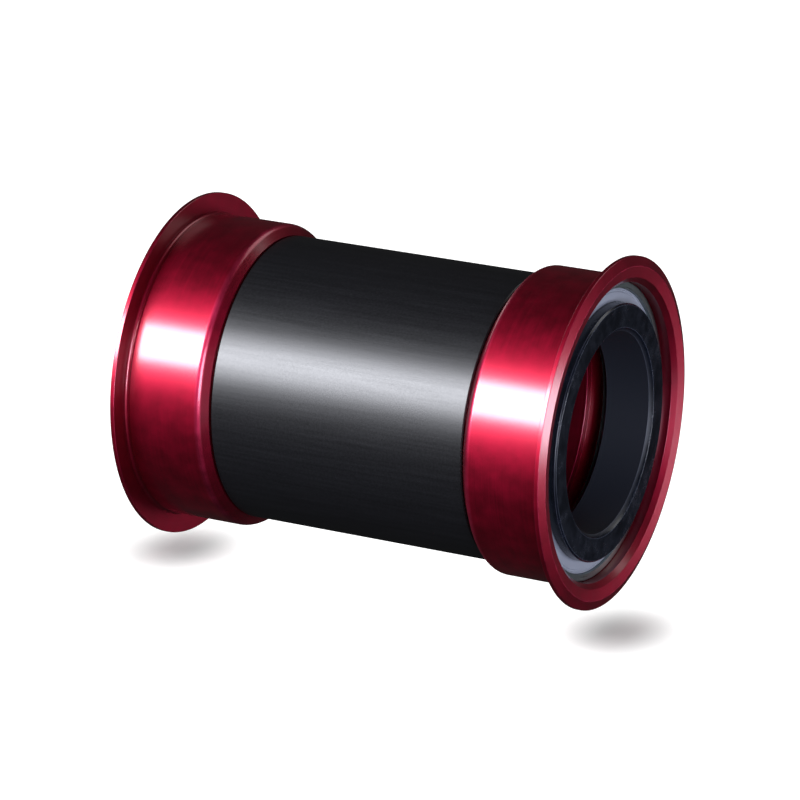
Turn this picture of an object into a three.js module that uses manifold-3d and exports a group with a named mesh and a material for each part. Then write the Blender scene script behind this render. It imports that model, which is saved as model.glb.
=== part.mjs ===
// Press-fit bottom bracket for a bicycle: two flanged cups with sealed ball bearings, joined by a sleeve.
// Units are millimetres. The spindle axis is Y, Z is up, and the origin is the middle of the frame shell.
// The drive side is at -Y and the non-drive side at +Y. Every piece is turned about Y, apart from the balls
// and the pockets of the ball retainers.
import * as THREE from "three";
import { mergeVertices } from "three/addons/utils/BufferGeometryUtils.js";
import Module from "manifold-3d";

// ---- Driving dimensions -------------------------------------------------------------------------------

const SHELL_WIDTH = 68; // of the frame's shell, between the two flanges
const SHELL_BORE = 46; // the cups press into it
const SPINDLE_DIAMETER = 30; // the crank's spindle, which runs in both top hats

const FLANGE_OVERHANG = 3.1; // how far the flange stands out beyond the cup's body
const FLANGE_THICKNESS = 1.2;
const RIM_BEVEL_WIDTH = 1.45; // the outer bevel of the flange's face, measured along the radius
const RIM_BEVEL_DROP = 0.55; // and along the axis
const FUNNEL_DROP = 0.35; // depth of the shallow funnel from the flange's crest to the mouth
const MOUTH_CHAMFER_WIDTH = 0.75; // the chamfer inside the funnel, along the radius
const MOUTH_CHAMFER_DROP = 0.7; // and along the axis
const CUP_WALL = 0.8; // of the cup around its bearing
const RELIEF_WIDTH = 0.85; // the groove in the cup's body just behind the flange
const RELIEF_DEPTH = 0.25;
const RELIEF_ROUND = 0.5; // radius of the inside corner between the groove and the flange
const CUP_BODY_LENGTH = 13.3; // from the flange's inboard face to the end face
const LEAD_ROUND = 1.2; // radius of the round at the body's inboard edge
const LEAD_ANGLE = 65; // degrees that the round turns through before the end face takes over
const LEAD_SLOPE = 0.6; // how far the end face leans back towards the sleeve
const BORE_STEP_DEPTH = 13.3; // from the crest to the step inside the cup
const SHOULDER_HEIGHT = 2; // the shoulder that stops the bearing

const SLEEVE_STEP = 1.6; // how much smaller the sleeve's radius is than the cup's
const SLEEVE_WALL = 0.7;
const SLEEVE_END_GAP = 0.3; // between the sleeve and each cup's end face
const SPIGOT_LENGTH = 5.5;
const SPIGOT_FIT = 0.15; // radial gap between the spigot and the sleeve, which the O-ring takes up
const SPIGOT_WALL = 1.65;
const SPIGOT_CHAMFER = 0.3;
const O_RING_SECTION = 0.94;
const O_RING_INSET = 2.7; // from the cup's end face to the middle of the O-ring
const GROOVE_FLOOR = 0.87; // depth of the O-ring's groove in the spigot

const BEARING_DEPTH = 2.5; // from the flange's crest to the outer race's end face
const BEARING_WIDTH = 7;
const BALL_DIAMETER = 3.572;
const BALL_COUNT = 20;
const OUTER_LAND = 1.25; // from the pitch circle out to the outer race's land
const INNER_LAND = 1.25; // from the pitch circle in to the inner race's land
const RACE_LIP = 1.05; // radial width of the outer race's end face, outside the seal
const RETAINER_WALL = 1;
const SEAL_RECESS = 0.4; // the seal's face lies this far below the race's end
const SEAL_THICKNESS = 0.45;

const TOP_HAT_WALL = 1;
const TOP_HAT_PROUD = 1.5; // the top hat's face stands this far outboard of the outer race
const TOP_HAT_SKIRT = 0.8; // radial width of the skirt that hangs over the seal
const SKIRT_INSET = 0.25; // from the seal's bore out to the skirt
const TOP_HAT_TUBE = 6.1; // how far the tube reaches into the inner race
const TOP_HAT_BEVEL = 0.55; // at the outboard edge of the bore
const TOP_HAT_EDGE = 0.25; // at the brim's outer edge and the tube's inboard end

const SLIP_FIT = 0.05; // radial gap of pieces that seat in one another
const FACE_GAP = 0.05; // axial gap of faces that seat on one another
const RUNNING_GAP = 0.2; // radial gap of pieces that turn past one another
const BALL_GAP = 0.15; // between a ball and the grooves it runs in
const POCKET_GAP = 0.2; // between a ball and its pocket

const RING_SEGMENTS = 32;
const BALL_SEGMENTS = 8;
const POCKET_SEGMENTS = 8;

// ---- Sizes that follow --------------------------------------------------------------------------------

const crestStation = SHELL_WIDTH / 2 + FLANGE_THICKNESS;
const cup = {
  body: SHELL_BORE / 2,
  flange: SHELL_BORE / 2 + FLANGE_OVERHANG,
  seat: SHELL_BORE / 2 - CUP_WALL,
  endDepth: FLANGE_THICKNESS + CUP_BODY_LENGTH,
};
const sleeve = { outside: cup.body - SLEEVE_STEP, inside: cup.body - SLEEVE_STEP - SLEEVE_WALL };
const spigot = { outside: sleeve.inside - SPIGOT_FIT };
spigot.inside = spigot.outside - SPIGOT_WALL;
spigot.groove = spigot.outside - GROOVE_FLOOR;

const spindleRadius = SPINDLE_DIAMETER / 2;
const topHat = { tube: spindleRadius + TOP_HAT_WALL };
const bearing = {
  outside: cup.seat - SLIP_FIT,
  bore: topHat.tube + SLIP_FIT,
  middleDepth: BEARING_DEPTH + BEARING_WIDTH / 2,
  ball: BALL_DIAMETER / 2,
};
bearing.pitch = (bearing.outside + bearing.bore) / 2;
bearing.sealSeat = bearing.outside - RACE_LIP;
bearing.outerLand = bearing.pitch + OUTER_LAND;
bearing.innerLand = bearing.pitch - INNER_LAND;
bearing.sealBore = bearing.innerLand + RUNNING_GAP;
bearing.sealSpace = BEARING_WIDTH / 2 - SEAL_RECESS - SEAL_THICKNESS; // from the middle to a seal
topHat.skirt = bearing.sealBore + SKIRT_INSET;
topHat.brim = topHat.skirt + TOP_HAT_SKIRT;

// ---- Materials ----------------------------------------------------------------------------------------

const redAnodised = new THREE.MeshStandardMaterial({ color: 0xa01030, metalness: 0.9, roughness: 0.3 });
const blackAnodised = new THREE.MeshStandardMaterial({ color: 0x1e1e1e, metalness: 0.8, roughness: 0.45 });
const glossBlack = new THREE.MeshStandardMaterial({ color: 0x0b1119, metalness: 0.2, roughness: 0.2 });
const bearingSteel = new THREE.MeshStandardMaterial({ color: 0x868f92, metalness: 1, roughness: 0.3 });
const sealFace = new THREE.MeshStandardMaterial({ color: 0x6b7688, metalness: 0.4, roughness: 0.45 });
const retainerNylon = new THREE.MeshStandardMaterial({ color: 0xd8d2c0, metalness: 0, roughness: 0.6 });
const blackRubber = new THREE.MeshStandardMaterial({ color: 0x141414, metalness: 0, roughness: 0.8 });

// ---- Helpers ------------------------------------------------------------------------------------------

// Points on an arc in the profile plane, where x is the radius and y is the station. Angles in radians.
function arc(centreRadius, centreStation, radius, from, to, steps) {
  return Array.from({ length: steps + 1 }, (_, i) => {
    const angle = from + ((to - from) * i) / steps;
    return [centreRadius + radius * Math.cos(angle), centreStation + radius * Math.sin(angle)];
  });
}

// A closed ring turned about Y from [radius, station] points. They may run either way round.
function turnedRing(profile) {
  const area = profile.reduce((sum, [x, y], i) => {
    const [nextX, nextY] = profile[(i + 1) % profile.length];
    return sum + x * nextY - nextX * y;
  }, 0);
  const points = profile.map(([x, y]) => new THREE.Vector2(x, y));
  if (area < 0) points.reverse();
  points.push(points[0].clone());
  return new THREE.LatheGeometry(points, RING_SEGMENTS);
}

// The same, from [radius, depth] points, where depth runs inboard from the crest of one side's flange.
function turnedOnSide(side, profile) {
  return turnedRing(profile.map(([radius, depth]) => [radius, side * (crestStation - depth)]));
}

const wasm = await Module();
wasm.setup();

function toSolid(geometry) {
  const bare = geometry.clone().deleteAttribute("normal").deleteAttribute("uv");
  const merged = mergeVertices(bare);
  const { array } = merged.attributes.position;
  return new wasm.Manifold(
    new wasm.Mesh({ numProp: 3, vertProperties: array, triVerts: new Uint32Array(merged.index.array) }),
  );
}

function toGeometry(solid) {
  const mesh = solid.getMesh();
  const geometry = new THREE.BufferGeometry();
  geometry.setAttribute("position", new THREE.BufferAttribute(mesh.vertProperties, 3));
  geometry.setIndex(new THREE.BufferAttribute(mesh.triVerts, 1));
  geometry.computeVertexNormals();
  return geometry;
}

function named(name, geometry, material) {
  const mesh = new THREE.Mesh(geometry, material);
  mesh.name = name;
  return mesh;
}

// ---- Cups and sleeve ----------------------------------------------------------------------------------

function cupGeometry(side) {
  const crest = cup.flange - RIM_BEVEL_WIDTH;
  const relief = cup.body - RELIEF_DEPTH;
  const reliefEnd = FLANGE_THICKNESS + RELIEF_WIDTH;
  const leadAngle = THREE.MathUtils.degToRad(LEAD_ANGLE);
  const roundDepth = cup.endDepth - LEAD_SLOPE - LEAD_ROUND * Math.sin(leadAngle);
  const grooveMiddle = cup.endDepth + O_RING_INSET;
  const grooveHalf = O_RING_SECTION / 2 + RUNNING_GAP / 2;
  const spigotEnd = cup.endDepth + SPIGOT_LENGTH;
  const shoulderDepth = BEARING_DEPTH + BEARING_WIDTH + FACE_GAP;
  const shoulder = cup.seat - SHOULDER_HEIGHT;
  return turnedOnSide(side, [
    [crest, 0],
    [cup.flange, RIM_BEVEL_DROP],
    [cup.flange, FLANGE_THICKNESS],
    ...arc(relief + RELIEF_ROUND, FLANGE_THICKNESS + RELIEF_ROUND, RELIEF_ROUND, -Math.PI / 2, -Math.PI, 2),
    [relief, reliefEnd - RELIEF_DEPTH],
    [cup.body, reliefEnd],
    ...arc(cup.body - LEAD_ROUND, roundDepth, LEAD_ROUND, 0, leadAngle, 3),
    [sleeve.outside, cup.endDepth],
    [spigot.outside, cup.endDepth],
    [spigot.outside, grooveMiddle - grooveHalf],
    [spigot.groove, grooveMiddle - grooveHalf],
    [spigot.groove, grooveMiddle + grooveHalf],
    [spigot.outside, grooveMiddle + grooveHalf],
    [spigot.outside, spigotEnd - SPIGOT_CHAMFER],
    [spigot.outside - SPIGOT_CHAMFER, spigotEnd],
    [spigot.inside, spigotEnd],
    [spigot.inside, BORE_STEP_DEPTH],
    [shoulder, BORE_STEP_DEPTH],
    [shoulder, shoulderDepth],
    [cup.seat, shoulderDepth],
    [cup.seat, FUNNEL_DROP + MOUTH_CHAMFER_DROP],
    [cup.seat + MOUTH_CHAMFER_WIDTH, FUNNEL_DROP],
  ]);
}

function sleeveGeometry() {
  const half = crestStation - cup.endDepth - SLEEVE_END_GAP;
  const edge = SLEEVE_WALL / 4;
  return turnedRing([
    [sleeve.outside - edge, half],
    [sleeve.outside, half - edge],
    [sleeve.outside, edge - half],
    [sleeve.outside - edge, -half],
    [sleeve.inside, -half],
    [sleeve.inside, half],
  ]);
}

function oRingGeometry(side) {
  const middle = (spigot.groove + sleeve.inside) / 2;
  const circle = arc(middle, cup.endDepth + O_RING_INSET, O_RING_SECTION / 2, 0, 2 * Math.PI, 8);
  return turnedOnSide(side, circle.slice(1));
}

// ---- Bearings -----------------------------------------------------------------------------------------

// A race's groove, as points from one land to the other. outward is 1 on the outer race and -1 on the inner.
function ballGroove(outward, landOffset) {
  const radius = bearing.ball + BALL_GAP;
  const half = Math.acos(landOffset / radius);
  const middle = outward > 0 ? 0 : Math.PI;
  return arc(bearing.pitch, bearing.middleDepth, radius, middle - half, middle + half, 4);
}

function outerRaceGeometry(side) {
  const start = BEARING_DEPTH;
  const end = BEARING_DEPTH + BEARING_WIDTH;
  const sealDepth = SEAL_RECESS + SEAL_THICKNESS;
  return turnedOnSide(side, [
    [bearing.outside, start],
    [bearing.outside, end],
    [bearing.sealSeat, end],
    [bearing.sealSeat, end - sealDepth],
    [bearing.outerLand, end - sealDepth],
    ...ballGroove(1, OUTER_LAND).reverse(),
    [bearing.outerLand, start + sealDepth],
    [bearing.sealSeat, start + sealDepth],
    [bearing.sealSeat, start],
  ]);
}

function innerRaceGeometry(side) {
  const start = BEARING_DEPTH;
  const end = BEARING_DEPTH + BEARING_WIDTH;
  return turnedOnSide(side, [
    [bearing.bore, start],
    [bearing.bore, end],
    [bearing.innerLand, end],
    ...ballGroove(-1, INNER_LAND),
    [bearing.innerLand, start],
  ]);
}

// A flat seal in the end of the outer race, running close to the inner race. outboard is 1 or -1.
function sealGeometry(side, outboard) {
  const face = bearing.middleDepth - outboard * (BEARING_WIDTH / 2 - SEAL_RECESS);
  const back = face + outboard * (SEAL_THICKNESS - FACE_GAP);
  return turnedOnSide(side, [
    [bearing.sealSeat - SLIP_FIT, face],
    [bearing.sealSeat - SLIP_FIT, back],
    [bearing.sealBore, back],
    [bearing.sealBore, face],
  ]);
}

function ballPlace(side, index) {
  const angle = (index * 2 * Math.PI) / BALL_COUNT;
  const station = side * (crestStation - bearing.middleDepth);
  return new THREE.Vector3(bearing.pitch * Math.cos(angle), station, bearing.pitch * Math.sin(angle));
}

// A ring between the races with a round pocket for each ball.
function retainerGeometry(side) {
  const half = bearing.sealSpace - RUNNING_GAP;
  const inside = bearing.pitch - RETAINER_WALL / 2;
  const outside = bearing.pitch + RETAINER_WALL / 2;
  const ring = turnedOnSide(side, [
    [outside, bearing.middleDepth - half],
    [outside, bearing.middleDepth + half],
    [inside, bearing.middleDepth + half],
    [inside, bearing.middleDepth - half],
  ]);
  const pocketRadius = bearing.ball + POCKET_GAP;
  const drill = new THREE.CylinderGeometry(pocketRadius, pocketRadius, 4 * RETAINER_WALL, POCKET_SEGMENTS);
  const drillAxis = new THREE.Vector3(0, 1, 0);
  let solid = toSolid(ring);
  for (let i = 0; i < BALL_COUNT; i++) {
    const place = ballPlace(side, i);
    const outwards = place.clone().setY(0).normalize();
    const turn = new THREE.Quaternion().setFromUnitVectors(drillAxis, outwards);
    solid = solid.subtract(toSolid(drill.clone().applyQuaternion(turn).translate(...place)));
  }
  return toGeometry(solid);
}

function topHatGeometry(side) {
  const face = BEARING_DEPTH - TOP_HAT_PROUD;
  const brimBack = BEARING_DEPTH - FACE_GAP;
  const skirtEnd = BEARING_DEPTH + SEAL_RECESS - RUNNING_GAP;
  const tubeEnd = BEARING_DEPTH + TOP_HAT_TUBE;
  return turnedOnSide(side, [
    [spindleRadius + TOP_HAT_BEVEL, face],
    [topHat.brim - TOP_HAT_EDGE, face],
    [topHat.brim, face + TOP_HAT_EDGE],
    [topHat.brim, skirtEnd],
    [topHat.skirt, skirtEnd],
    [topHat.skirt, brimBack],
    [topHat.tube, brimBack],
    [topHat.tube, tubeEnd],
    [spindleRadius + TOP_HAT_EDGE, tubeEnd],
    [spindleRadius, tubeEnd - TOP_HAT_EDGE],
    [spindleRadius, face + TOP_HAT_BEVEL],
  ]);
}

// ---- Assembly -----------------------------------------------------------------------------------------

function sideGroup(name, side) {
  const group = new THREE.Group();
  group.name = name;
  group.add(
    named(`${name}_cup`, cupGeometry(side), redAnodised),
    named(`${name}_sleeve_o_ring`, oRingGeometry(side), blackRubber),
    named(`${name}_outer_race`, outerRaceGeometry(side), bearingSteel),
    named(`${name}_inner_race`, innerRaceGeometry(side), bearingSteel),
    named(`${name}_outboard_seal`, sealGeometry(side, 1), sealFace),
    named(`${name}_inboard_seal`, sealGeometry(side, -1), sealFace),
    named(`${name}_ball_retainer`, retainerGeometry(side), retainerNylon),
    named(`${name}_top_hat`, topHatGeometry(side), glossBlack),
  );
  for (let i = 0; i < BALL_COUNT; i++) {
    const ballGeometry = new THREE.SphereGeometry(bearing.ball, BALL_SEGMENTS, BALL_SEGMENTS / 2);
    const ball = named(`${name}_ball_${String(i + 1).padStart(2, "0")}`, ballGeometry, bearingSteel);
    ball.position.copy(ballPlace(side, i));
    group.add(ball);
  }
  return group;
}

const bottomBracket = new THREE.Group();
bottomBracket.name = "bottom_bracket";
bottomBracket.add(
  sideGroup("drive", -1),
  named("centre_sleeve", sleeveGeometry(), blackAnodised),
  sideGroup("non_drive", 1),
);

export default bottomBracket;
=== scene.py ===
"""Press-fit bottom bracket of a bicycle: two flanged cups with sealed ball bearings, joined by a sleeve.

The spindle axis is Y, Z is up and the origin is the middle of the frame's shell. The sizes of the bracket's
pieces are in millimetres, and every mesh is made in metres. Depths run inboard from the crest of a side's
flange.
"""

import logging
import math
from collections.abc import Iterable, Mapping, Sequence
from dataclasses import dataclass
from enum import Enum
from functools import cache

import bmesh
import bpy
from bpy.types import Collection, Material, Mesh, Node, NodeSocket, NodeTree, Object
from mathutils import Matrix, Vector


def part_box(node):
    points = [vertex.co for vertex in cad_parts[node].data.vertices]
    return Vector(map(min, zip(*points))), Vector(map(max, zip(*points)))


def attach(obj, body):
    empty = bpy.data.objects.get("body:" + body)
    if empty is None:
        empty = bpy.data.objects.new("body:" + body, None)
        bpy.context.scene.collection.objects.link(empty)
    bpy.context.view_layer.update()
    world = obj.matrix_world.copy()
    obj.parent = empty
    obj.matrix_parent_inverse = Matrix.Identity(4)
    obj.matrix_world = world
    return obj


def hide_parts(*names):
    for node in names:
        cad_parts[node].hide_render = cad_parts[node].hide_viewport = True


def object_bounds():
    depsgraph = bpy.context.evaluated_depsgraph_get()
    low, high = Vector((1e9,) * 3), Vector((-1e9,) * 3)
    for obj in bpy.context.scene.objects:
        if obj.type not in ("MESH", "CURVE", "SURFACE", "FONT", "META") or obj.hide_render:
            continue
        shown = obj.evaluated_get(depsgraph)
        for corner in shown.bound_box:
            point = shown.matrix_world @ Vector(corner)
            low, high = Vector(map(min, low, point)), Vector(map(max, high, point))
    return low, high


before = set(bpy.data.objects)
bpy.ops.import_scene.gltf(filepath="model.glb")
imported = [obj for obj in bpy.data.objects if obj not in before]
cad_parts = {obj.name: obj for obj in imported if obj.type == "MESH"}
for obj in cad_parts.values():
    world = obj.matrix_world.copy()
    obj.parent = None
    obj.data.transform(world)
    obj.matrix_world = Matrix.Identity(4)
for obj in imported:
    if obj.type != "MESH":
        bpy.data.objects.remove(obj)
cad_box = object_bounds()

LOG = logging.getLogger("bottom_bracket")
MM = 0.001
SPINDLE_AXIS = Vector((0, 1, 0))
FIXED_BODY = "frame_parts"
VISIBLE_SEGMENTS = 288
HIDDEN_SEGMENTS = 160
# The crowns of convex edges, as a point attribute: worn edges on every finish, and a painted edge highlight
# on the acetal.
EDGE_WEAR_AND_HIGHLIGHT = "edge_wear_and_highlight"

# Sockets of a Mix node, by number because its colours and its plain values share their names.
MIX_SHARE, VALUE_A, VALUE_B, COLOUR_A, COLOUR_B, COLOUR_OUT = 0, 2, 3, 6, 7, 2
# The limits that the sum of two noises mostly stays within.
NOISE_SUM = {"From Min": 0.6, "From Max": 1.4}


# ---- Sides and turned sections -------------------------------------------------------------------


class Side(Enum):
    """An end of the spindle axis. The value is its direction along Y."""

    DRIVE = -1
    NON_DRIVE = 1

    @property
    def label(self) -> str:
        """The side's name, which starts the names of its nodes."""
        return self.name.lower()

    @property
    @cache
    def crest(self) -> float:
        """The crest of the side's flange along Y, in mm, which is where the CAD cup ends."""
        low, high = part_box(f"{self.label}_cup")
        return (low.y if self is Side.DRIVE else high.y) / MM

    def station(self, depth: float) -> float:
        """The place along Y, in mm, at a depth inboard of the flange's crest."""
        return self.crest - self.value * depth


@dataclass(frozen=True)
class Corner:
    """A corner of a turned section.

    Attributes:
        radius: Distance from the spindle axis.
        depth: Depth inboard of the crest, or the place along Y for a piece that belongs to neither side.
        rounding: Radius of the corner's round or fillet.
    """

    radius: float
    depth: float
    rounding: float = 0.0


@dataclass(frozen=True)
class Stretch:
    """A short stretch of a rounded section, with the way its surface faces at both ends.

    Attributes:
        start: First point, as (radius, station).
        end: Last point.
        start_normal: Direction out of the material at the first point.
        end_normal: Direction out of the material at the last point.
        crown_wear_and_highlight: How near the first point lies to the crown of an edge, from 0 on a flat to 1
            on the crown. It sets where handling has worn an edge, and on the acetal it also sets a painted
            edge highlight.
    """

    start: Vector
    end: Vector
    start_normal: Vector
    end_normal: Vector
    crown_wear_and_highlight: float = 0.0


class TurnedSection:
    """The closed section of a ring that is turned about the spindle axis."""

    ARC_STEP = math.radians(14)
    SHORTEST = 1e-4  # a shorter stretch, in mm, is left out
    LEAST_TURN = 1e-4  # a corner that turns less, in radians, needs no round

    def __init__(self, corners: Iterable[Corner], side: Side | None = None) -> None:
        """Round the corners and work out which way each stretch faces.

        Args:
            corners: The corners in order, either way round.
            side: The side that the corners' depths are measured on, or None where they are places along Y.
        """
        points = [
            (Vector((c.radius, side.station(c.depth) if side else c.depth)), c.rounding) for c in corners
        ]
        following = points[1:] + points[:1]
        if sum(a.x * b.y - b.x * a.y for (a, _), (b, _) in zip(points, following)) < 0:
            points.reverse()
        arcs = [
            self._arc(points[i - 1][0], corner, points[(i + 1) % len(points)][0], rounding)
            for i, (corner, rounding) in enumerate(points)
        ]
        joined: list[Stretch] = []
        for arc, next_arc in zip(arcs, arcs[1:] + arcs[:1]):
            joined += [*arc, self._flat(arc[-1].end, next_arc[0].start)]
        self.stretches = [s for s in joined if (s.end - s.start).length > self.SHORTEST]

    @staticmethod
    def _flat(start: Vector, end: Vector) -> Stretch:
        """Return the straight stretch between two points."""
        along = (end - start).normalized()
        facing = Vector((along.y, -along.x))
        return Stretch(start, end, facing, facing)

    def _arc(self, before: Vector, corner: Vector, after: Vector, rounding: float) -> list[Stretch]:
        """The stretches of one corner.

        Args:
            before: The corner before it.
            corner: The corner itself.
            after: The corner after it.
            rounding: Radius of its round or fillet.

        Returns:
            A run of short stretches, or one of no length where the corner is sharp.
        """
        back, ahead = (before - corner).normalized(), (after - corner).normalized()
        opening = math.acos(max(-1.0, min(1.0, back.dot(ahead))))
        turn = math.pi - opening
        if rounding == 0 or turn < self.LEAST_TURN:
            return [Stretch(corner, corner, back, back)]
        trim = rounding / math.tan(opening / 2)
        centre = corner + (back + ahead).normalized() * rounding / math.sin(opening / 2)
        first, last = corner + back * trim - centre, corner + ahead * trim - centre
        steps = max(2, math.ceil(turn / self.ARC_STEP))
        spokes = [
            (first * math.sin(turn * (1 - i / steps)) + last * math.sin(turn * i / steps)) / math.sin(turn)
            for i in range(steps + 1)
        ]
        convex = back.y * ahead.x - back.x * ahead.y > 0
        facing = (1 if convex else -1) / rounding
        return [
            Stretch(
                centre + spokes[i],
                centre + spokes[i + 1],
                spokes[i] * facing,
                spokes[i + 1] * facing,
                math.sin(math.pi * i / steps) if convex else 0.0,
            )
            for i in range(steps)
        ]

    def mesh(self, name: str, segments: int = VISIBLE_SEGMENTS) -> Mesh:
        """Turn the section about Y.

        Args:
            name: The mesh's name.
            segments: Flats round the circumference.

        Returns:
            A closed mesh in metres, with the section's own normals and its edge crowns as a point attribute,
            which mark worn edges and, on the acetal, a painted edge highlight.
        """
        angles = [2 * math.pi * j / segments for j in range(segments)]
        spokes = [(math.cos(a), math.sin(a)) for a in angles]
        vertices = [
            Vector((s.start.x * cos, s.start.y, s.start.x * sin)) * MM
            for s in self.stretches
            for cos, sin in spokes
        ]
        faces, normals = [], []
        for i, stretch in enumerate(self.stretches):
            here, onward = i * segments, (i + 1) % len(self.stretches) * segments
            for j in range(segments):
                k = (j + 1) % segments
                faces.append((here + j, onward + j, onward + k, here + k))
                corners = ((stretch.start_normal, j), (stretch.end_normal, j))
                corners += ((stretch.end_normal, k), (stretch.start_normal, k))
                normals += [(n.x * spokes[at][0], n.y, n.x * spokes[at][1]) for n, at in corners]
        mesh = bpy.data.meshes.new(name)
        mesh.from_pydata(vertices, [], faces)
        mesh.shade_smooth()
        mesh.normals_split_custom_set(normals)
        worn = mesh.attributes.new(EDGE_WEAR_AND_HIGHLIGHT, "FLOAT", "POINT")
        worn.data.foreach_set("value", [s.crown_wear_and_highlight for s in self.stretches for _ in spokes])
        return mesh


# ---- Nodes ---------------------------------------------------------------------------------------


def linear(hex_colour: str) -> tuple[float, float, float, float]:
    """Turn an sRGB hex colour into linear RGBA."""
    values = [int(hex_colour[i : i + 2], 16) / 255 for i in (1, 3, 5)]
    red, green, blue = (v / 12.92 if v <= 0.04045 else ((v + 0.055) / 1.055) ** 2.4 for v in values)
    return red, green, blue, 1.0


def feed(tree: NodeTree, node: Node, inputs: Mapping[str | int, object]) -> None:
    """Set a node's inputs.

    Args:
        tree: The node tree.
        node: The node.
        inputs: For each input socket's name or number, its value or the output socket that feeds it.
    """
    for key, value in inputs.items():
        if isinstance(value, NodeSocket):
            tree.links.new(value, node.inputs[key])
        else:
            node.inputs[key].default_value = value


def add_node(
    tree: NodeTree, kind: str, inputs: Mapping[str | int, object], output: str | int = 0, **settings: object
) -> NodeSocket:
    """Add one node with its settings and links.

    Args:
        tree: The node tree.
        kind: What follows ShaderNode in the node's type.
        inputs: Its inputs, as feed takes them.
        output: Name or number of the output wanted.
        settings: The node's own properties.

    Returns:
        The output socket.
    """
    node = tree.nodes.new(f"ShaderNode{kind}")
    for key, value in settings.items():
        setattr(node, key, value)
    feed(tree, node, inputs)
    return node.outputs[output]


@dataclass(frozen=True)
class TurnedCoordinates:
    """Coordinates that fit a turned piece.

    Attributes:
        place: The point itself, in mm.
        radius: The distance from the spindle axis, in mm.
        around: The direction from the axis, of length 1, which holds the angle without a seam.
        station: The place along Y, in mm.
        across: A length in mm that grows across the tool marks of barrels, faces and chamfers alike.
    """

    place: NodeSocket
    radius: NodeSocket
    around: NodeSocket
    station: NodeSocket
    across: NodeSocket

    ACROSS_SLOPE = 1.37  # keeps a 45 degree chamfer from running level with it
    RING_CHARACTER = {"Detail": 2.5, "Roughness": 0.6}
    CLOUD_ROUGHNESS = 0.55

    @classmethod
    def add(cls, tree: NodeTree) -> "TurnedCoordinates":
        """Add the nodes that work the coordinates out, and return their sockets."""
        source = add_node(tree, "TexCoord", {}, "Object")
        place = add_node(tree, "VectorMath", {0: source, "Scale": 1 / MM}, operation="SCALE")
        level = add_node(tree, "VectorMath", {0: place, 1: (1, 0, 1)}, operation="MULTIPLY")
        radius = add_node(tree, "VectorMath", {0: level}, "Value", operation="LENGTH")
        around = add_node(tree, "VectorMath", {0: level}, operation="NORMALIZE")
        station = add_node(tree, "SeparateXYZ", {0: place}, "Y")
        across = add_node(
            tree, "Math", {0: station, 1: cls.ACROSS_SLOPE, 2: radius}, operation="MULTIPLY_ADD"
        )
        return cls(place, radius, around, station, across)

    def rings(self, tree: NodeTree, pitch: float, waver: float = 1.0) -> NodeSocket:
        """Noise in rings round the axis, as a turning tool or a grinding wheel leaves.

        Args:
            tree: The node tree.
            pitch: Spacing of the rings, in mm.
            waver: How much a ring changes on its way round.

        Returns:
            The noise, from 0 to 1.
        """
        along = add_node(tree, "Math", {0: self.across, 1: pitch}, operation="DIVIDE")
        around = self.around
        if waver != 1.0:
            around = add_node(tree, "VectorMath", {0: around, "Scale": waver}, operation="SCALE")
        noise = {"Vector": around, "W": along, "Scale": 1.0, **self.RING_CHARACTER}
        return add_node(tree, "TexNoise", noise, noise_dimensions="4D")

    def cloud(self, tree: NodeTree, size: float, detail: float = 3.0) -> NodeSocket:
        """Soft even noise, as a stain or a film of grease lies on a surface.

        Args:
            tree: The node tree.
            size: Size of its blotches, in mm.
            detail: How many finer layers it has.

        Returns:
            The noise, from 0 to 1.
        """
        noise = {"Vector": self.place, "Scale": 1 / size, "Detail": detail, "Roughness": self.CLOUD_ROUGHNESS}
        return add_node(tree, "TexNoise", noise)


# ---- Finishes ------------------------------------------------------------------------------------


class Finish:
    """A finish of the bracket: one procedural material, made once and shared by its pieces.

    Attributes:
        title: The material's name.
        roughness: Its roughness, or the middle of it where it varies.
        roughness_spread: How far the roughness strays either way.
    """

    title: str
    roughness: float
    roughness_spread: float = 0.0

    def material(self) -> Material:
        """Return the material, which the first call makes."""
        made = bpy.data.materials.get(self.title)
        if made is None:
            made = bpy.data.materials.new(self.title)
            made.use_nodes = True
            shader = made.node_tree.nodes["Principled BSDF"]
            feed(made.node_tree, shader, self.sockets(made.node_tree))
        return made

    def roughness_limits(self) -> dict[str, float]:
        """The outputs that a MapRange node needs to vary the roughness by its spread."""
        return {
            "To Min": self.roughness - self.roughness_spread,
            "To Max": self.roughness + self.roughness_spread,
        }

    def sockets(self, tree: NodeTree) -> dict[str | int, object]:
        """Add the finish's nodes.

        Args:
            tree: The material's node tree.

        Returns:
            What goes into each socket of the Principled BSDF.
        """
        raise NotImplementedError


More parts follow.
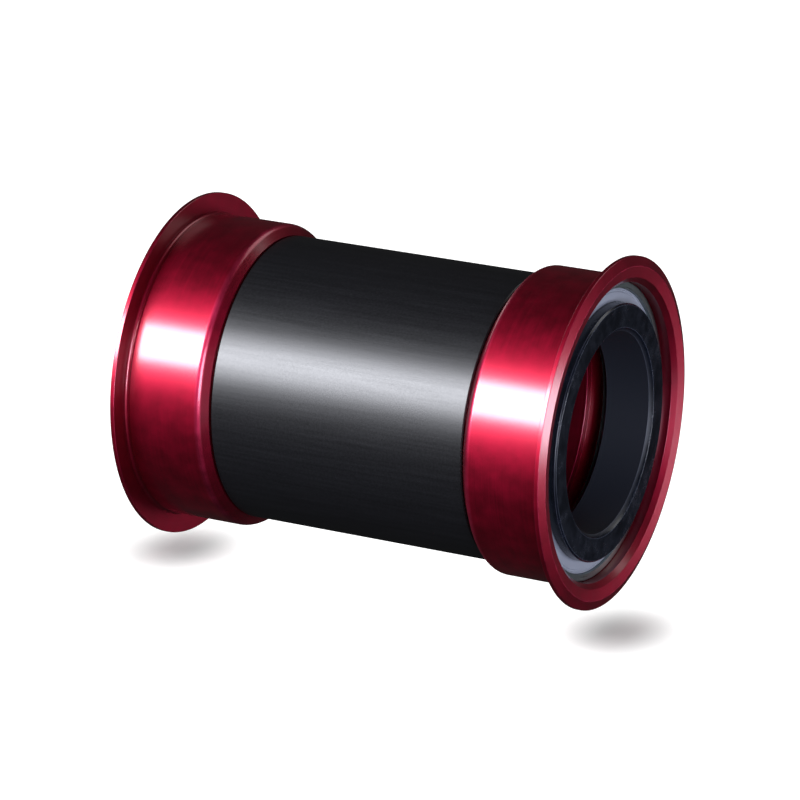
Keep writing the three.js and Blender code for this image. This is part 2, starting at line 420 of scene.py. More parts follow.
@dataclass(frozen=True)
class TurnedAnodisedAluminium(Finish):
    """Aluminium turned on a lathe, brightened, dyed crimson in the anodising bath and sealed.

    The metal under the dyed oxide gives a deep tinted glow. The sealed skin adds white highlights with firmer
    edges. Fine rings stay from the turning tool, and the dye takes a little unevenly.
    """

    title: str = "turned_crimson_anodised_aluminium"
    dye: str = "#8b0926"
    dye_deep: str = "#7b0820"
    dye_worn: str = "#b02a4c"
    roughness: float = 0.47
    roughness_spread: float = 0.06
    skin_roughness: float = 0.215
    skin_ior: float = 1.5
    tool_mark_pitch: float = 0.22  # a real 0.1 mm feed is too fine to show
    tool_mark_height: float = 0.0022
    mottle: float = 2.6

    def sockets(self, tree: NodeTree) -> dict[str | int, object]:
        """Add the nodes for the dye, the tool marks and the worn edges."""
        at = TurnedCoordinates.add(tree)
        marks = at.rings(tree, self.tool_mark_pitch)
        mottle = at.cloud(tree, self.mottle)
        dyes = {MIX_SHARE: mottle, COLOUR_A: linear(self.dye_deep), COLOUR_B: linear(self.dye)}
        dye = add_node(tree, "Mix", dyes, COLOUR_OUT, data_type="RGBA")
        crown_wear_and_highlight = add_node(tree, "Attribute", {}, "Fac", attribute_name=EDGE_WEAR_AND_HIGHLIGHT)
        worn = add_node(tree, "Math", {0: crown_wear_and_highlight, 1: mottle}, operation="MULTIPLY", use_clamp=True)
        shades = {MIX_SHARE: worn, COLOUR_A: dye, COLOUR_B: linear(self.dye_worn)}
        colour = add_node(tree, "Mix", shades, COLOUR_OUT, data_type="RGBA")
        unevenness = add_node(tree, "Math", {0: marks, 1: mottle}, operation="ADD")
        roughness = add_node(
            tree, "MapRange", {"Value": unevenness, **NOISE_SUM, **self.roughness_limits()}
        )
        relief = add_node(tree, "Bump", {"Height": marks, "Distance": self.tool_mark_height * MM})
        return {
            "Base Color": colour,
            "Metallic": 1.0,
            "Roughness": roughness,
            "Normal": relief,
            "Coat Weight": 1.0,
            "Coat Roughness": self.skin_roughness,
            "Coat IOR": self.skin_ior,
        }


@dataclass(frozen=True)
class DrawnAnodisedAluminium(Finish):
    """Aluminium tube, drawn through a die and dyed black in the anodising bath.

    It is dark and satin, with a broad soft highlight, and faint streaks run the way the tube was drawn.
    """

    title: str = "drawn_black_anodised_aluminium"
    dye: str = "#060607"
    dye_pale: str = "#0b0b0d"
    roughness: float = 0.37
    roughness_spread: float = 0.04
    ior: float = 1.44
    tube_radius: float = 21.4
    streak_width: float = 0.5
    streak_length: float = 14.0
    streak_height: float = 0.0012
    streak_detail: float = 3.0
    grain: float = 0.3  # the etch's own grain is near 0.02 mm, which is too fine to show

    def sockets(self, tree: NodeTree) -> dict[str | int, object]:
        """Add the nodes for the dye and the drawing streaks."""
        at = TurnedCoordinates.add(tree)
        streaks_round = self.tube_radius / self.streak_width
        angle = add_node(tree, "VectorMath", {0: at.around, "Scale": streaks_round}, operation="SCALE")
        along = add_node(tree, "Math", {0: at.station, 1: self.streak_length}, operation="DIVIDE")
        noise = {"Vector": angle, "W": along, "Scale": 1.0, "Detail": self.streak_detail}
        streaks = add_node(tree, "TexNoise", noise, noise_dimensions="4D")
        grain = at.cloud(tree, self.grain)
        both = add_node(tree, "Math", {0: streaks, 1: grain}, operation="ADD")
        share = add_node(tree, "MapRange", {"Value": both, **NOISE_SUM})
        dyes = {MIX_SHARE: share, COLOUR_A: linear(self.dye), COLOUR_B: linear(self.dye_pale)}
        dye = add_node(tree, "Mix", dyes, COLOUR_OUT, data_type="RGBA")
        roughness = add_node(tree, "MapRange", {"Value": share, **self.roughness_limits()})
        relief = add_node(tree, "Bump", {"Height": both, "Distance": self.streak_height * MM})
        return {"Base Color": dye, "Roughness": roughness, "IOR": self.ior, "Normal": relief}


@dataclass(frozen=True)
class PolishedAcetal(Finish):
    """Black acetal, turned and polished where it shows.

    It is a glossy blue-black, clouded in places by grease and fingerprints that dull the gloss. The bore is
    reamed and stays satin. The edges are a paler grey, which is partly scuffing and partly a painted
    highlight for the thin light lines that the edges catch.
    """

    title: str = "polished_black_acetal"
    colour: str = "#06080d"
    colour_clouded: str = "#0b0f18"
    roughness: float = 0.18
    roughness_clouded: float = 0.32
    ior: float = 1.48
    cloud: float = 2.2
    cloud_detail: float = 4.0
    cloud_limits: tuple[float, float] = (0.38, 0.75)
    colour_bore: str = "#181a20"
    # Scuffed edges, and a painted highlight along them.
    colour_worn_and_highlight: str = "#3c3f49"
    roughness_bore: float = 0.5
    bore_radius: float = 15.0
    bevel_radius: float = 15.4
    tool_mark_pitch: float = 0.35
    tool_mark_height: float = 0.0015

    def sockets(self, tree: NodeTree) -> dict[str | int, object]:
        """Add the nodes for the colour, the smudges, the bore, the scuffed edges with their painted highlight
        and the tool marks.
        """
        at = TurnedCoordinates.add(tree)
        clouds = at.cloud(tree, self.cloud, self.cloud_detail)
        thin, thick = self.cloud_limits
        smudge = add_node(tree, "MapRange", {"Value": clouds, "From Min": thin, "From Max": thick})
        polish = {"Value": at.radius, "From Min": self.bore_radius, "From Max": self.bevel_radius}
        polished = add_node(tree, "MapRange", polish)
        crown_wear_and_highlight = add_node(tree, "Attribute", {}, "Fac", attribute_name=EDGE_WEAR_AND_HIGHLIGHT)
        smudged = add_node(tree, "Math", {0: smudge, 1: polished}, operation="MULTIPLY")
        colour = linear(self.colour_bore)
        # The last layer paints the edge crowns paler: scuffing, and a painted edge highlight.
        layers = ((polished, self.colour), (smudged, self.colour_clouded), (crown_wear_and_highlight, self.colour_worn_and_highlight))
        for share, layer in layers:
            shades = {MIX_SHARE: share, COLOUR_A: colour, COLOUR_B: linear(layer)}
            colour = add_node(tree, "Mix", shades, COLOUR_OUT, data_type="RGBA")
        gloss = add_node(
            tree, "MapRange", {"Value": smudge, "To Min": self.roughness, "To Max": self.roughness_clouded}
        )
        roughness = add_node(
            tree, "Mix", {MIX_SHARE: polished, VALUE_A: self.roughness_bore, VALUE_B: gloss}
        )
        marks = at.rings(tree, self.tool_mark_pitch)
        relief = add_node(tree, "Bump", {"Height": marks, "Distance": self.tool_mark_height * MM})
        return {"Base Color": colour, "Roughness": roughness, "IOR": self.ior, "Normal": relief}


@dataclass(frozen=True)
class GroundBearingSteel(Finish):
    """Through-hardened bearing steel with ground faces.

    It is a plain cool grey metal with a close satin grain that the grinding wheel leaves in rings.
    """

    title: str = "ground_bearing_steel"
    colour: str = "#8e9794"
    colour_dull: str = "#777f7e"
    roughness: float = 0.30
    roughness_spread: float = 0.08
    grain_pitch: float = 0.16  # a ground face's own lines are near 0.02 mm, which is too fine to show
    grain_height: float = 0.0008
    grain_waver: float = 4.0
    stain: float = 5.0

    def sockets(self, tree: NodeTree) -> dict[str | int, object]:
        """Add the nodes for the grinding lines and the faint staining."""
        at = TurnedCoordinates.add(tree)
        grain = at.rings(tree, self.grain_pitch, self.grain_waver)
        stain = at.cloud(tree, self.stain)
        shades = {MIX_SHARE: stain, COLOUR_A: linear(self.colour_dull), COLOUR_B: linear(self.colour)}
        colour = add_node(tree, "Mix", shades, COLOUR_OUT, data_type="RGBA")
        roughness = add_node(tree, "MapRange", {"Value": grain, **self.roughness_limits()})
        relief = add_node(tree, "Bump", {"Height": grain, "Distance": self.grain_height * MM})
        return {"Base Color": colour, "Metallic": 1.0, "Roughness": roughness, "Normal": relief}


@dataclass(frozen=True)
class LappedBallSteel(Finish):
    """Chrome steel balls, lapped to a mirror.

    They are bright and sharp in reflection, with a thin uneven film of grease.
    """

    title: str = "lapped_chrome_steel"
    colour: str = "#c9cccd"
    colour_greased: str = "#b4b2a6"
    roughness: float = 0.06
    roughness_greased: float = 0.22
    grease: float = 1.4
    grease_limits: tuple[float, float] = (0.4, 0.7)

    def sockets(self, tree: NodeTree) -> dict[str | int, object]:
        """Add the nodes for the grease film."""
        at = TurnedCoordinates.add(tree)
        clouds = at.cloud(tree, self.grease)
        thin, thick = self.grease_limits
        film = add_node(tree, "MapRange", {"Value": clouds, "From Min": thin, "From Max": thick})
        shades = {MIX_SHARE: film, COLOUR_A: linear(self.colour), COLOUR_B: linear(self.colour_greased)}
        colour = add_node(tree, "Mix", shades, COLOUR_OUT, data_type="RGBA")
        roughness = add_node(
            tree, "MapRange", {"Value": film, "To Min": self.roughness, "To Max": self.roughness_greased}
        )
        return {"Base Color": colour, "Metallic": 1.0, "Roughness": roughness}


@dataclass(frozen=True)
class MouldedNitrile(Finish):
    """Nitrile rubber, compression moulded.

    It is satin, with a fine dull grain and paler patches where dust and grease film it.
    """

    title: str
    colour: str
    colour_filmed: str
    roughness: float = 0.5
    roughness_spread: float = 0.1
    ior: float = 1.52
    film: float = 2.2
    grain: float = 0.18  # the mould's own grain is near 0.03 mm, which is too fine to show
    grain_height: float = 0.004
    grain_detail: float = 1.0

    def sockets(self, tree: NodeTree) -> dict[str | int, object]:
        """Add the nodes for the grain and the film on it."""
        at = TurnedCoordinates.add(tree)
        film, grain = at.cloud(tree, self.film), at.cloud(tree, self.grain, self.grain_detail)
        shades = {MIX_SHARE: film, COLOUR_A: linear(self.colour), COLOUR_B: linear(self.colour_filmed)}
        colour = add_node(tree, "Mix", shades, COLOUR_OUT, data_type="RGBA")
        roughness = add_node(tree, "MapRange", {"Value": film, **self.roughness_limits()})
        relief = add_node(tree, "Bump", {"Height": grain, "Distance": self.grain_height * MM})
        return {"Base Color": colour, "Roughness": roughness, "IOR": self.ior, "Normal": relief}


@dataclass(frozen=True)
class MouldedNylon(Finish):
    """Glass-filled nylon, injection moulded.

    It is an off-white with a waxy depth, and the glass fibre shows as fine pale flecks.
    """

    title: str = "moulded_glass_filled_nylon"
    colour: str = "#cfc7b2"
    colour_fleck: str = "#e2dccb"
    roughness: float = 0.5
    roughness_spread: float = 0.1
    ior: float = 1.53
    subsurface: float = 0.15
    fleck: float = 0.25

    def sockets(self, tree: NodeTree) -> dict[str | int, object]:
        """Add the nodes for the fibre flecks."""
        at = TurnedCoordinates.add(tree)
        fleck = at.cloud(tree, self.fleck)
        shades = {MIX_SHARE: fleck, COLOUR_A: linear(self.colour), COLOUR_B: linear(self.colour_fleck)}
        colour = add_node(tree, "Mix", shades, COLOUR_OUT, data_type="RGBA")
        roughness = add_node(tree, "MapRange", {"Value": fleck, **self.roughness_limits()})
        return {
            "Base Color": colour,
            "Roughness": roughness,
            "IOR": self.ior,
            "Subsurface Weight": self.subsurface,
        }


SEAL_NITRILE = MouldedNitrile("moulded_blue_grey_nitrile", "#696c74", "#777a82")
O_RING_NITRILE = MouldedNitrile("moulded_black_nitrile", "#101011", "#1d1d1e")


# ---- Sub-assemblies ------------------------------------------------------------------------------


def place_piece(mesh: Mesh, finish: Finish, body: str, nodes: Sequence[str]) -> Object:
    """Put a piece where the CAD has it.

    Args:
        mesh: Its mesh, in the frame's own place. Its name is the piece's name.
        finish: Its finish.
        body: The CAD body that it rides on.
        nodes: The CAD nodes that it stands for.

    Returns:
        The new object.
    """
    mesh.materials.append(finish.material())
    piece = bpy.data.objects.new(mesh.name, mesh)
    bpy.context.collection.objects.link(piece)
    LinkSet.BRACKET.add(piece)
    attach(piece, body)
    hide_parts(*nodes)
    LOG.info("%s: %d faces, rides on %s", piece.name, len(mesh.polygons), body)
    return piece


@dataclass(frozen=True)
class Cup:
    """A flanged cup that presses into the frame's shell, with a seat for its bearing and a spigot."""

    side: Side
    crest_radius: float = 24.65
    flange_radius: float = 26.1
    rim_bevel_depth: float = 0.55
    flange_back: float = 1.2
    root_fillet: float = 0.5
    relief_radius: float = 22.75
    relief_end: float = 2.05
    body_radius: float = 23.0
    lead_apex: float = 13.462
    lead_round: float = 1.2
    end_radius: float = 21.4
    end_depth: float = 14.5
    spigot_radius: float = 20.55
    spigot_end: float = 20.0
    spigot_chamfer: float = 0.3
    groove_radius: float = 19.68
    groove_start: float = 16.63
    groove_end: float = 17.77
    spigot_bore: float = 18.9
    bore_step: float = 13.3
    shoulder_radius: float = 20.2
    shoulder_depth: float = 9.55
    seat_radius: float = 22.2
    mouth_start: float = 1.05
    mouth_radius: float = 22.95
    funnel_depth: float = 0.35
    edge_break: float = 0.1
    crest_round: float = 0.25

    def corners(self) -> list[Corner]:
        """The cup's section, from the crest over the rim and back through the bore."""
        edge = self.edge_break
        relief_step = self.body_radius - self.relief_radius
        return [
            Corner(self.crest_radius, 0, self.crest_round),
            Corner(self.flange_radius, self.rim_bevel_depth, edge),
            Corner(self.flange_radius, self.flange_back, edge),
            Corner(self.relief_radius, self.flange_back, self.root_fillet),
            Corner(self.relief_radius, self.relief_end - relief_step, edge / 2),
            Corner(self.body_radius, self.relief_end, edge / 2),
            Corner(self.body_radius, self.lead_apex, self.lead_round),
            Corner(self.end_radius, self.end_depth, edge / 2),
            Corner(self.spigot_radius, self.end_depth),
            Corner(self.spigot_radius, self.groove_start, edge / 2),
            Corner(self.groove_radius, self.groove_start, edge),
            Corner(self.groove_radius, self.groove_end, edge),
            Corner(self.spigot_radius, self.groove_end, edge / 2),
            Corner(self.spigot_radius, self.spigot_end - self.spigot_chamfer, edge / 2),
            Corner(self.spigot_radius - self.spigot_chamfer, self.spigot_end, edge / 2),
            Corner(self.spigot_bore, self.spigot_end, edge),
            Corner(self.spigot_bore, self.bore_step, edge),
            Corner(self.shoulder_radius, self.bore_step, edge),
            Corner(self.shoulder_radius, self.shoulder_depth, edge),
            Corner(self.seat_radius, self.shoulder_depth, edge / 2),
            Corner(self.seat_radius, self.mouth_start, edge / 2),
            Corner(self.mouth_radius, self.funnel_depth, edge / 2),
        ]

    def build(self) -> None:
        """Make the cup and dress it."""
        node = f"{self.side.label}_cup"
        mesh = TurnedSection(self.corners(), self.side).mesh(f"{node}_anodised")
        place_piece(mesh, TurnedAnodisedAluminium(), FIXED_BODY, [node])


@dataclass(frozen=True)
class SleeveORing:
    """The O-ring in the groove of a cup's spigot, which seals the sleeve."""

    side: Side
    middle_radius: float = 20.19
    middle_depth: float = 17.2
    section_radius: float = 0.47

    def build(self) -> None:
        """Make the O-ring and dress it."""
        node = f"{self.side.label}_sleeve_o_ring"
        reach = self.section_radius
        corners = [
            Corner(self.middle_radius + across * reach, self.middle_depth + along * reach, reach)
            for across, along in ((-1, -1), (1, -1), (1, 1), (-1, 1))
        ]
        mesh = TurnedSection(corners, self.side).mesh(f"{node}_moulded", HIDDEN_SEGMENTS)
        place_piece(mesh, O_RING_NITRILE, FIXED_BODY, [node])


@dataclass(frozen=True)
class CentreSleeve:
    """The thin tube that joins the cups and keeps the water of the frame away from the bearings."""

    outside: float = 21.4
    inside: float = 20.7
    half_length: float = 20.4
    end_chamfer: float = 0.175
    edge_break: float = 0.04

    def build(self) -> None:
        """Make the sleeve and dress it."""
        shoulder = self.outside - self.end_chamfer
        corners = [
            Corner(shoulder, self.half_length, self.edge_break),
            Corner(self.outside, self.half_length - self.end_chamfer, self.edge_break),
            Corner(self.outside, self.end_chamfer - self.half_length, self.edge_break),
            Corner(shoulder, -self.half_length, self.edge_break),
            Corner(self.inside, -self.half_length, self.edge_break),
            Corner(self.inside, self.half_length, self.edge_break),
        ]
        mesh = TurnedSection(corners).mesh("centre_sleeve_anodised")
        place_piece(mesh, DrawnAnodisedAluminium(), FIXED_BODY, ["centre_sleeve"])


@dataclass(frozen=True)
class BallBearing:
    """A sealed deep-groove bearing: two races, two seals, and a retainer with twenty balls."""

    side: Side
    outside: float = 22.15
    bore: float = 16.05
    start: float = 2.5
    end: float = 9.5
    edge_round: float = 0.15
    seal_seat: float = 21.1
    seal_space: float = 0.85
    outer_land: float = 20.35
    inner_land: float = 17.85
    pitch: float = 19.1
    ball_radius: float = 1.786
    groove_radius: float = 1.936
    ball_count: int = 20
    seal_outside: float = 21.05
    seal_bore: float = 18.05
    seal_face: float = 0.4
    seal_back: float = 0.8
    bead_width: float = 0.2
    bead_height: float = 0.09
    retainer_wall: float = 1.0
    retainer_half_width: float = 2.45
    pocket_radius: float = 1.986

    BALL_CUTS = 11  # divisions of a ball's cube
    PATCH_STEPS = 6  # points along one side of a pocket's patch
    PATCH_RINGS = 4  # bands of faces from a pocket's edge to its patch's border
    WELD_DISTANCE = 0.001  # in mm
    CREASE = math.radians(40)

    @property
    def middle(self) -> float:
        """Depth of the ball row's plane."""
        return (self.start + self.end) / 2

    def groove(self, land: float) -> list[Corner]:
        """The ball groove between a race's two lands.

        Args:
            land: The land's radius.

        Returns:
            The groove's two edges with a corner between them, whose rounding is the groove itself.
        """
        offset = land - self.pitch
        half = math.sqrt(self.groove_radius**2 - offset**2)
        apex = self.pitch + self.groove_radius**2 / offset
        return [
            Corner(land, self.middle - half),
            Corner(apex, self.middle, self.groove_radius),
            Corner(land, self.middle + half),
        ]

    def outer_corners(self) -> list[Corner]:
        """The outer race's section."""
        edge = self.edge_round
        return [
            Corner(self.outside, self.start, edge),
            Corner(self.outside, self.end, edge),
            Corner(self.seal_seat, self.end, edge / 3),
            Corner(self.seal_seat, self.end - self.seal_space),
            Corner(self.outer_land, self.end - self.seal_space),
            *reversed(self.groove(self.outer_land)),
            Corner(self.outer_land, self.start + self.seal_space),
            Corner(self.seal_seat, self.start + self.seal_space),
            Corner(self.seal_seat, self.start, edge / 3),
        ]

    def inner_corners(self) -> list[Corner]:
        """The inner race's section."""
        edge = self.edge_round
        return [
            Corner(self.bore, self.start, edge),
            Corner(self.bore, self.end, edge),
            Corner(self.inner_land, self.end, edge),
            *reversed(self.groove(self.inner_land)),
            Corner(self.inner_land, self.start, edge),
        ]

    def seal_corners(self, outboard: bool) -> list[Corner]:
        """A seal's section: a flat ring with a bead near its edge and a lip that thins inwards.

        Args:
            outboard: Whether it is the seal at the bearing's outboard end.

        Returns:
            The section's corners.
        """
        face, back = self.seal_face, self.seal_back
        bead = self.seal_outside - 2 * self.bead_width
        section = [
            Corner(self.seal_outside, back),
            Corner(self.seal_bore, back),
            Corner(self.seal_bore, face + 2 * self.bead_height, self.bead_height / 2),
            Corner(self.seal_bore + 2 * self.bead_width, face, self.bead_height),
            Corner(bead - self.bead_width, face, self.bead_height / 2),
            Corner(bead - self.bead_width / 2, face + self.bead_height, self.bead_height / 2),
            Corner(bead + self.bead_width / 2, face + self.bead_height, self.bead_height / 2),
            Corner(bead + self.bead_width, face, self.bead_height / 2),
            Corner(self.seal_outside, face + self.bead_height / 2, self.bead_height / 3),
        ]
        if outboard:
            return [Corner(c.radius, self.start + c.depth, c.rounding) for c in section]
        return [Corner(c.radius, self.end - c.depth, c.rounding) for c in section]

    def ball_mesh(self, name: str, angle: float) -> Mesh:
        """A ball, from a divided cube that is blown up to a sphere, so that it has no poles.

        Args:
            name: The mesh's name.
            angle: Its place round the row, in radians.

        Returns:
            The mesh, in place.
        """
        shape = bmesh.new()
        bmesh.ops.create_cube(shape, size=2.0)
        bmesh.ops.subdivide_edges(shape, edges=shape.edges[:], cuts=self.BALL_CUTS, use_grid_fill=True)
        station = self.side.station(self.middle)
        centre = Vector((self.pitch * math.cos(angle), station, self.pitch * math.sin(angle)))
        for vertex in shape.verts:
            evened = Vector([math.tan(c * math.pi / 4) for c in vertex.co])
            vertex.co = (centre + evened.normalized() * self.ball_radius) * MM
        mesh = bpy.data.meshes.new(name)
        shape.to_mesh(mesh)
        shape.free()
        mesh.shade_smooth()
        return mesh

    def retainer_mesh(self, name: str) -> Mesh:
        """The retainer: a ring between the races with a round pocket for each ball.

        Each pocket has its own patch of wall, which runs from the pocket's edge out to the patch's border.
        The patches are rolled round the axis and welded.

        Args:
            name: The mesh's name.

        Returns:
            The mesh, in place.
        """
        steps, rings = self.PATCH_STEPS, self.PATCH_RINGS
        half_patch = math.pi / self.ball_count * self.pitch
        half = self.retainer_half_width
        square = [
            Matrix.Rotation(turn * math.pi / 2, 2) @ Vector((1, 2 * i / steps - 1))
            for turn in range(4)
            for i in range(steps)
        ]
        shape = bmesh.new()
        for ball in range(self.ball_count):
            grid: dict[tuple[int, int, int], bmesh.types.BMVert] = {}
            for wall, level in ((0, -1), (1, 1)):
                radius = self.pitch + level * self.retainer_wall / 2
                for ring in range(rings + 1):
                    share = ring / rings
                    for i, point in enumerate(square):
                        border = Vector((point.x * half_patch, point.y * half))
                        pocket = border.normalized() * self.pocket_radius
                        arc, along = pocket.lerp(border, share)
                        angle = 2 * math.pi * ball / self.ball_count + arc / self.pitch
                        station = self.side.station(self.middle) + along
                        place = Vector((radius * math.cos(angle), station, radius * math.sin(angle)))
                        grid[wall, ring, i] = shape.verts.new(place * MM)
            for i, point in enumerate(square):
                k = (i + 1) % len(square)
                for ring in range(rings):
                    for wall in (0, 1):
                        corners = [(ring, i), (ring + 1, i), (ring + 1, k), (ring, k)]
                        shape.faces.new([grid[wall, r, at] for r, at in corners])
                at_end = abs(round((point + square[k]).y, 5)) == 2
                for ring in (0, rings) if at_end else (0,):
                    corners = [(0, i), (1, i), (1, k), (0, k)]
                    shape.faces.new([grid[wall, ring, at] for wall, at in corners])
        bmesh.ops.remove_doubles(shape, verts=shape.verts[:], dist=self.WELD_DISTANCE * MM)
        bmesh.ops.recalc_face_normals(shape, faces=shape.faces[:])
        mesh = bpy.data.meshes.new(name)
        shape.to_mesh(mesh)
        shape.free()
        mesh.shade_smooth()
        mesh.set_sharp_from_angle(angle=self.CREASE)
        return mesh

    def build(self) -> None:
        """Make the bearing's pieces and dress them."""
        label = self.side.label
        races = (
            ("outer_race", self.outer_corners(), FIXED_BODY),
            ("inner_race", self.inner_corners(), f"{label}_inner"),
        )
        for part, corners, body in races:
            node = f"{label}_{part}"
            mesh = TurnedSection(corners, self.side).mesh(f"{node}_ground")
            place_piece(mesh, GroundBearingSteel(), body, [node])
        for part, outboard in (("outboard_seal", True), ("inboard_seal", False)):
            node = f"{label}_{part}"
            mesh = TurnedSection(self.seal_corners(outboard), self.side).mesh(f"{node}_moulded")
            place_piece(mesh, SEAL_NITRILE, FIXED_BODY, [node])
        node, row = f"{label}_ball_retainer", f"{label}_ball_row"
        place_piece(self.retainer_mesh(f"{node}_moulded"), MouldedNylon(), row, [node])
        for index in range(self.ball_count):
            node = f"{label}_ball_{index + 1:02d}"
            mesh = self.ball_mesh(f"{node}_lapped", 2 * math.pi * index / self.ball_count)
            place_piece(mesh, LappedBallSteel(), row, [node])


@dataclass(frozen=True)
class TopHat:
    """The flanged bush between a bearing and the spindle, whose brim covers the bearing's seal."""

    side: Side
    bore: float = 15.0
    bevel: float = 0.55
    face: float = 1.0
    brim_radius: float = 19.1
    brim_edge: float = 0.25
    skirt_radius: float = 18.3
    skirt_end: float = 2.7
    brim_back: float = 2.45
    tube_radius: float = 16.0
    tube_end: float = 8.6
    edge_break: float = 0.1

    def build(self) -> None:
        """Make the top hat and dress it."""
        node = f"{self.side.label}_top_hat"
        edge = self.edge_break
        corners = [
            Corner(self.bore + self.bevel, self.face, edge),
            Corner(self.brim_radius - self.brim_edge, self.face, edge),
            Corner(self.brim_radius, self.face + self.brim_edge, edge),
            Corner(self.brim_radius, self.skirt_end, edge),
            Corner(self.skirt_radius, self.skirt_end, edge),
            Corner(self.skirt_radius, self.brim_back, edge),
            Corner(self.tube_radius, self.brim_back, edge),
            Corner(self.tube_radius, self.tube_end, edge),
            Corner(self.bore + self.brim_edge, self.tube_end, edge),
            Corner(self.bore, self.tube_end - self.brim_edge, edge),
            Corner(self.bore, self.face + self.bevel, edge),
        ]
        mesh = TurnedSection(corners, self.side).mesh(f"{node}_polished")
        place_piece(mesh, PolishedAcetal(), f"{self.side.label}_inner", [node])


# ---- Studio --------------------------------------------------------------------------------------


class LinkSet(Enum):
    """A set of things that a light shines on, or that shade it. The value is its collection's name."""

    BRACKET = "bracket_pieces"
    FLOOR = "floor"
    FLAGS = "floor_flags"

    def add(self, thing: Object) -> None:
        """Put an object in the set."""
        self.collection().objects.link(thing)

    def collection(self) -> Collection:
        """Return the set's collection, which the first call makes."""
        return bpy.data.collections.get(self.value) or bpy.data.collections.new(self.value)


@dataclass(frozen=True)
class Softbox:
    """A rectangular studio light that faces the bracket.

    Attributes:
        title: Its name.
        towards: The direction from the bracket to the light.
        distance: How far it stands, in metres.
        length: Its size along the spindle axis, in metres.
        height: Its size across that, in metres.
        radiance: How bright its face is.
        lit: What it shines on.
        shaded_by: What casts shadows in it.
        tint: Its colour.
    """

    title: str
    towards: tuple[float, float, float]
    distance: float
    length: float
    height: float
    radiance: float
    lit: LinkSet = LinkSet.BRACKET
    shaded_by: LinkSet = LinkSet.BRACKET
    tint: str = "#ffffff"

    def build(self) -> None:
        """Make the light, with its length as near the spindle axis as it can lie."""
        data = bpy.data.lights.new(self.title, "AREA")
        data.shape = "RECTANGLE"
        data.size, data.size_y = self.length, self.height
        data.energy = self.radiance * math.pi * self.length * self.height
        data.color = linear(self.tint)[:3]
        outward = Vector(self.towards).normalized()
        across = SPINDLE_AXIS.cross(outward).normalized()
        along = outward.cross(across)
        turn = Matrix((along, outward.cross(along), outward)).transposed()
        light = bpy.data.objects.new(self.title, data)
        light.matrix_world = Matrix.Translation(outward * self.distance) @ turn.to_4x4()
        light.visible_camera = False
        light.light_linking.receiver_collection = self.lit.collection()
        light.light_linking.blocker_collection = self.shaded_by.collection()
        bpy.context.collection.objects.link(light)


@dataclass(frozen=True)
class Flag:
    """An oval card that holds the overhead light off the floor under a flange. It shades no other light.

    Attributes:
        side: The flange's side.
        length: Its size across the spindle axis, in mm.
        width: Its size along the spindle axis, in mm.
        drop: How high it hangs over the floor, in mm.
        overhang: How far its middle is beyond the flange's crest, in mm.
        points: Points round its edge.
    """

    side: Side
    length: float = 21.0
    width: float = 14.0
    drop: float = 7.5
    overhang: float = 1.5
    points: int = 48

    def build(self, floor_height: float) -> None:
        """Make the flag.

        Args:
            floor_height: The floor's height, in metres.
        """
        angles = [2 * math.pi * i / self.points for i in range(self.points)]
        half_length, half_width = self.length / 2 * MM, self.width / 2 * MM
        height = floor_height + self.drop * MM
        station = self.side.station(-self.overhang) * MM
        edge = [(half_length * math.cos(a), station + half_width * math.sin(a), height) for a in angles]
        mesh = bpy.data.meshes.new(f"{self.side.label}_floor_flag")
        mesh.from_pydata(edge, [], [range(self.points)])
        flag = bpy.data.objects.new(mesh.name, mesh)
        flag.visible_camera = flag.visible_glossy = flag.visible_diffuse = flag.visible_transmission = False
        bpy.context.collection.objects.link(flag)
        LinkSet.FLAGS.add(flag)


@dataclass(frozen=True)
class StudioCamera:
    """The camera, on a long lens.

    Attributes:
        azimuth: Its place round the bracket in degrees, from 0 at -Y towards +X.
        elevation: Its height above the horizon, in degrees.
        roll: How far it is turned about its own axis, in degrees.
        distance: Distance from the bracket, in mm.
        lens: Focal length, in mm.
        sensor: Width of the sensor, in mm.
        offset: How far it is moved right and up from the bracket's middle, in mm.
        clip: The nearest and furthest that it sees, in metres.
    """

    azimuth: float = -63.764
    elevation: float = 17.026
    roll: float = 1.52
    distance: float = 649.163
    lens: float = 196.61
    sensor: float = 36.0
    offset: tuple[float, float] = (-0.087, -0.415)
    clip: tuple[float, float] = (0.01, 20.0)

    def build(self) -> None:
        """Make the camera and set it as the scene's own."""
        around, up = math.radians(self.azimuth), math.radians(self.elevation)
        back = Vector((math.sin(around) * math.cos(up), -math.cos(around) * math.cos(up), math.sin(up)))
        level = Vector((math.cos(around), math.sin(around), 0))
        upright = back.cross(level)
        roll = math.radians(self.roll)
        right = level * math.cos(roll) + upright * math.sin(roll)
        top = upright * math.cos(roll) - level * math.sin(roll)
        place = right * self.offset[0] + top * self.offset[1] + back * self.distance
        data = bpy.data.cameras.new("studio_camera")
        data.lens, data.sensor_width = self.lens, self.sensor
        data.clip_start, data.clip_end = self.clip
        camera = bpy.data.objects.new("studio_camera", data)
        turn = Matrix((right, top, back)).transposed()
        camera.matrix_world = Matrix.Translation(place * MM) @ turn.to_4x4()
        bpy.context.collection.objects.link(camera)
        bpy.context.scene.camera = camera


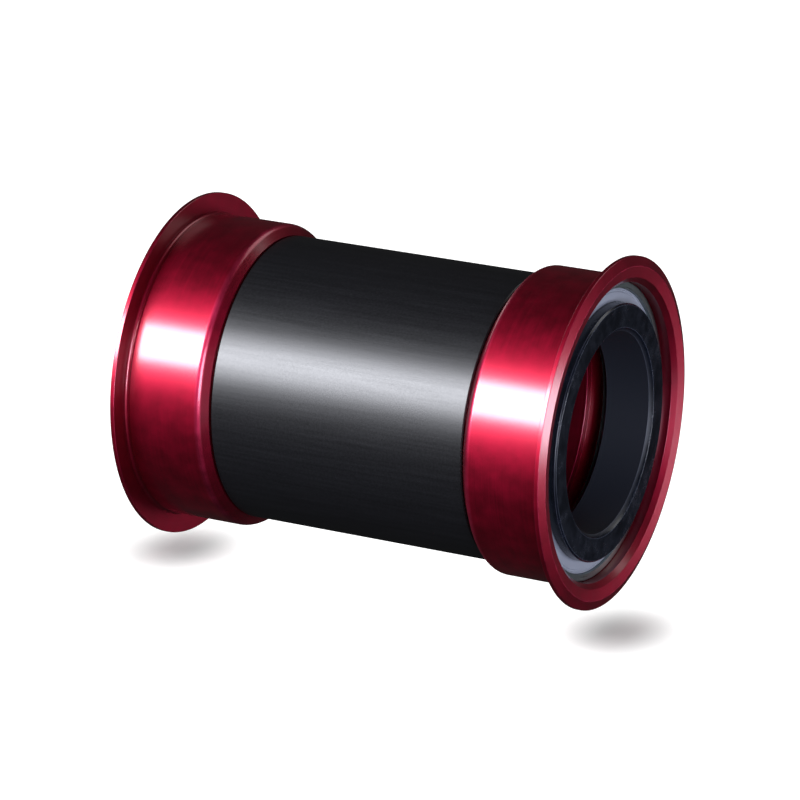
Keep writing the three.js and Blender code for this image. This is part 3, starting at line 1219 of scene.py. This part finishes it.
@dataclass(frozen=True)
class Studio:
    """The pale floor, the surround and the lights, in metres.

    Attributes:
        floor_gap: How far the floor is below the flanges.
        floor_size: Its length and its width.
        floor_colour: Its colour.
        floor_glow: How much it shines of its own, which keeps it pale.
        surround: How bright the room is that the bracket reflects.
        backdrop: How bright the room is to the camera.
        lights: The lights.
    """

    floor_gap: float = 0.004
    floor_size: float = 12.0
    floor_colour: str = "#f4f4f4"
    floor_glow: float = 0.25
    surround: float = 0.015
    backdrop: float = 1.0
    lights: tuple[Softbox, ...] = (
        Softbox("key", (-0.785, 0.44, 0.413), 0.8, 0.62, 0.315, 37.0, tint="#f5f7ff"),
        Softbox("front", (-0.337, -0.925, -0.174), 0.8, 0.55, 0.5, 0.6, tint="#dfe5fa"),
        Softbox("front_core", (0.430, -0.894, -0.125), 0.7, 0.29, 0.15, 17.0, tint="#e8ecfa"),
        Softbox("near_camera", (-0.70, -0.70, 0.10), 0.7, 0.36, 0.36, 18.0, tint="#dfe5fa"),
        Softbox("back", (0.60, -0.40, 0.69), 0.9, 0.5, 0.5, 1.7),
        Softbox("rear", (0.45, 0.86, 0.22), 0.9, 0.4, 0.4, 1.2),
        Softbox("sky", (0.0, 0.0, 1.0), 2.0, 4.6, 4.6, 2.2, LinkSet.FLOOR, LinkSet.FLAGS),
    )

    def build(self) -> None:
        """Make the floor, the surround and the lights, and set how the scene's light is shown."""
        self._floor()
        self._surround()
        for light in self.lights:
            light.build()
        bpy.context.scene.view_settings.view_transform = "Standard"

    def _floor(self) -> None:
        """Make the floor, which the bracket's surfaces don't reflect, and the flags over it."""
        low, _ = cad_box
        half = self.floor_size / 2
        height = low[2] - self.floor_gap
        mesh = bpy.data.meshes.new("studio_floor")
        corners = [(-half, -half, height), (half, -half, height), (half, half, height), (-half, half, height)]
        mesh.from_pydata(corners, [], [(0, 1, 2, 3)])
        material = bpy.data.materials.new("matt_studio_paper")
        material.use_nodes = True
        tree = material.node_tree
        feed(
            tree,
            tree.nodes["Principled BSDF"],
            {
                "Base Color": linear(self.floor_colour),
                "Roughness": 1.0,
                "Specular IOR Level": 0.0,
                "Emission Color": linear(self.floor_colour),
                "Emission Strength": self.floor_glow,
            },
        )
        mesh.materials.append(material)
        floor = bpy.data.objects.new("studio_floor", mesh)
        floor.visible_glossy = False
        floor.visible_diffuse = False
        bpy.context.collection.objects.link(floor)
        LinkSet.FLOOR.add(floor)
        for side in Side:
            Flag(side).build(height)

    def _surround(self) -> None:
        """Make a white backdrop, and a dim room for what the bracket reflects."""
        world = bpy.data.worlds.new("studio_surround")
        bpy.context.scene.world = world
        world.use_nodes = True
        tree = world.node_tree
        seen = add_node(tree, "LightPath", {}, "Is Camera Ray")
        brightness = {"Value": seen, "To Min": self.surround, "To Max": self.backdrop}
        strength = add_node(tree, "MapRange", brightness)
        feed(tree, tree.nodes["Background"], {"Color": (1.0, 1.0, 1.0, 1.0), "Strength": strength})


# ---- Assembly ------------------------------------------------------------------------------------


def main() -> None:
    """Build the bracket from its sub-assemblies, then the studio round it."""
    logging.basicConfig(level=logging.INFO, format="%(name)s: %(message)s")
    for side in Side:
        Cup(side).build()
        SleeveORing(side).build()
        BallBearing(side).build()
        TopHat(side).build()
    CentreSleeve().build()
    Studio().build()
    StudioCamera().build()


if __name__ == "__main__":
    main()
